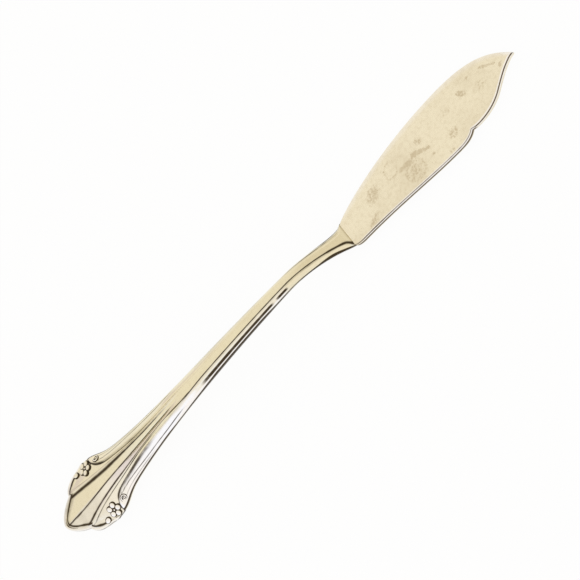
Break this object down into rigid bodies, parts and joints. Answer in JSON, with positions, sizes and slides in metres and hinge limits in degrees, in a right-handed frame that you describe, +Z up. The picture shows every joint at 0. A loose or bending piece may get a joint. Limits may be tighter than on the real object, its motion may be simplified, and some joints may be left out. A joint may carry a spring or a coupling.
{
  "type": "butter knife",
  "caption": "Flat-handled butter knife with a broad notched blade, a cranked neck and an arched handle that opens into a pleated fan with scrolls and blossoms.",
  "frame": {"origin": "on the plane the knife rests on, on the handle's centreline, under the shoulder where the handle's foot meets the blade", "axes": "+X along the handle's centreline towards the blade's point, +Y towards the cutting edge, +Z up from the table through the ornamented face"},
  "size_m": [0.173, 0.0192, 0.0112],
  "materials": {
    "blade_silver": "worn silver plate with light mottled tarnish",
    "handle_silver": "worn silver plate, dark in the recesses",
    "solder": "dull hard solder"
  },
  "bodies": {
    "root": {"blade": "blade_silver", "handle": "handle_silver", "solder_seam": "solder"}
  },
  "joints": []
}
